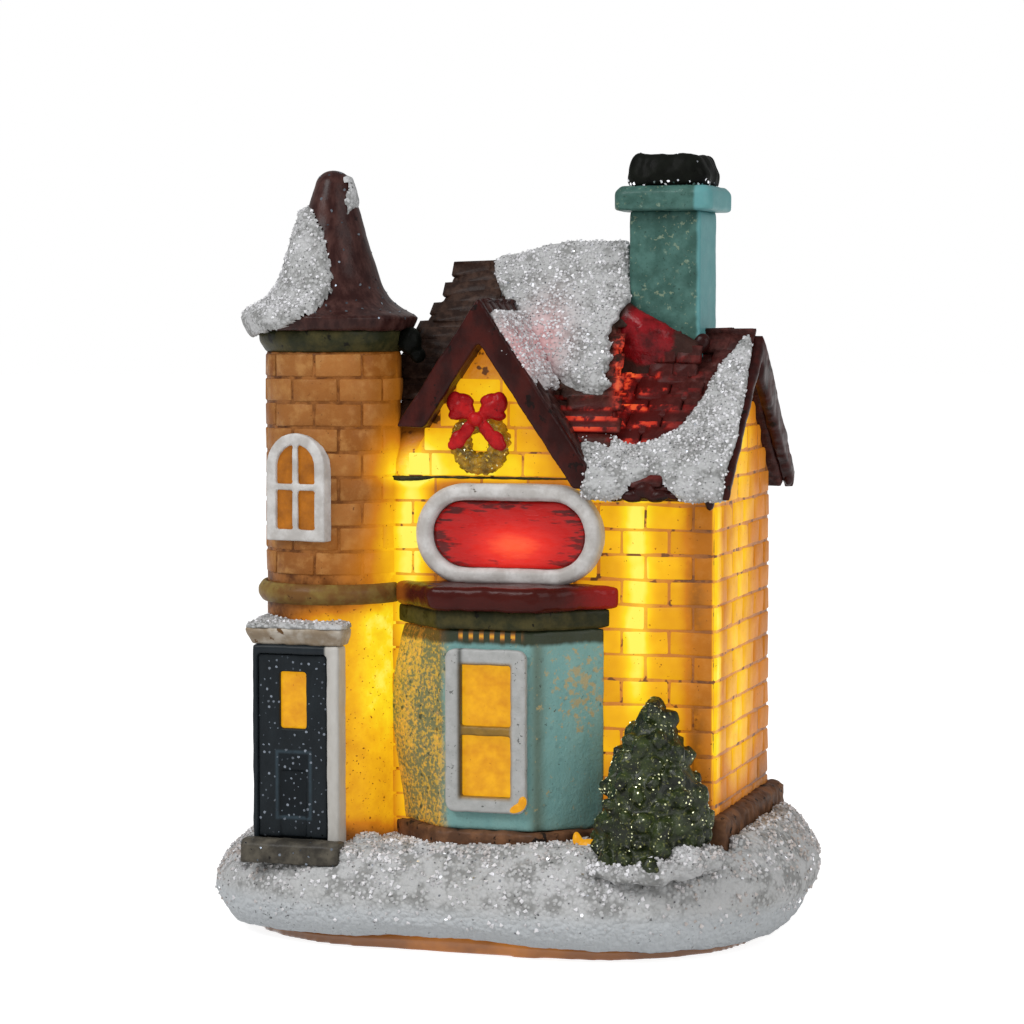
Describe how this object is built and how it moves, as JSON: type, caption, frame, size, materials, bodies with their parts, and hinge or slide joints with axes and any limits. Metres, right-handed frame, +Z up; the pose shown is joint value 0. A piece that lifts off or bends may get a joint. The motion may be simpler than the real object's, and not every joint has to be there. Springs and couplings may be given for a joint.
{
  "type": "lit christmas village house",
  "caption": "Small lit resin village house: brick walls, round corner turret, shop bay, bare sign, chimney and snow base, with a battery light unit underneath that has a switch and twist cover.",
  "frame": {"origin": "middle of the resting face, on the table", "axes": "+Z up, -Y out of the front with the sign and the bay, +X to the right as seen from the front"},
  "size_m": [0.07, 0.0526, 0.088],
  "materials": {
    "brick": "satin",
    "snow": "matte",
    "amber_resin": "gloss",
    "maroon": "gloss",
    "teal": "satin",
    "green_trim": "satin",
    "olive": "satin",
    "white_trim": "satin",
    "navy": "gloss",
    "stone_brown": "matte",
    "black": "gloss",
    "sign_red": "gloss",
    "bow_red": "gloss",
    "fir_green": "satin",
    "amber_pane": "gloss",
    "unit_plastic": "satin",
    "black_plastic": "satin",
    "board_green": "satin",
    "led_lens": "gloss",
    "cell_steel": "satin",
    "contact_brass": "satin"
  },
  "bodies": {
    "house": {"base_foot": "amber_resin", "bay_canopy": "maroon", "bay_cornice": "green_trim", "bay_plinth": "stone_brown", "bay_window": "teal", "bay_window_frame": "white_trim", "bay_window_pane": "amber_pane", "chimney_cap": "teal", "chimney_flue": "black", "chimney_saddle": "maroon", "chimney_stack": "teal", "circuit_board": "board_green", "coin_cell": "cell_steel", "door_leaf": "navy", "door_lintel": "white_trim", "door_lintel_snow": "snow", "door_pane": "amber_pane", "door_porch": "white_trim", "door_step": "navy", "fir_tree": "fir_green", "gable_bargeboards": "maroon", "gable_roof": "maroon", "high_roof": "maroon", "house_shell": "brick", "led": "led_lens", "light_unit_case": "unit_plastic", "light_unit_lid": "unit_plastic", "negative_contact": "contact_brass", "positive_contact": "contact_brass", "roof_snow_lower": "snow", "roof_snow_upper": "snow", "sign_frame": "white_trim", "sign_plate": "sign_red", "snow_base": "snow", "stone_footing": "stone_brown", "switch_body": "black_plastic", "turret_cornice": "green_trim", "turret_drum": "brick", "turret_roof": "maroon", "turret_roof_snow": "snow", "turret_string_course": "olive", "turret_window_frame": "white_trim", "turret_window_pane": "amber_pane", "wing_bargeboards": "maroon", "wing_roof": "maroon", "wreath": "fir_green", "wreath_bow": "bow_red"},
    "switch": {"switch_slider": "black_plastic"},
    "cover": {"battery_cover": "unit_plastic"}
  },
  "joints": [
    {"name": "switch_slide", "type": "slide", "parent": "house", "child": "switch", "axis": [0, 1, 0], "range_m": [0, 0.002]},
    {"name": "cover_twist", "type": "hinge", "parent": "house", "child": "cover", "pos_m": [0.0012, 0, 0], "axis": [0, 0, 1], "range_deg": [0, 45]}
  ]
}
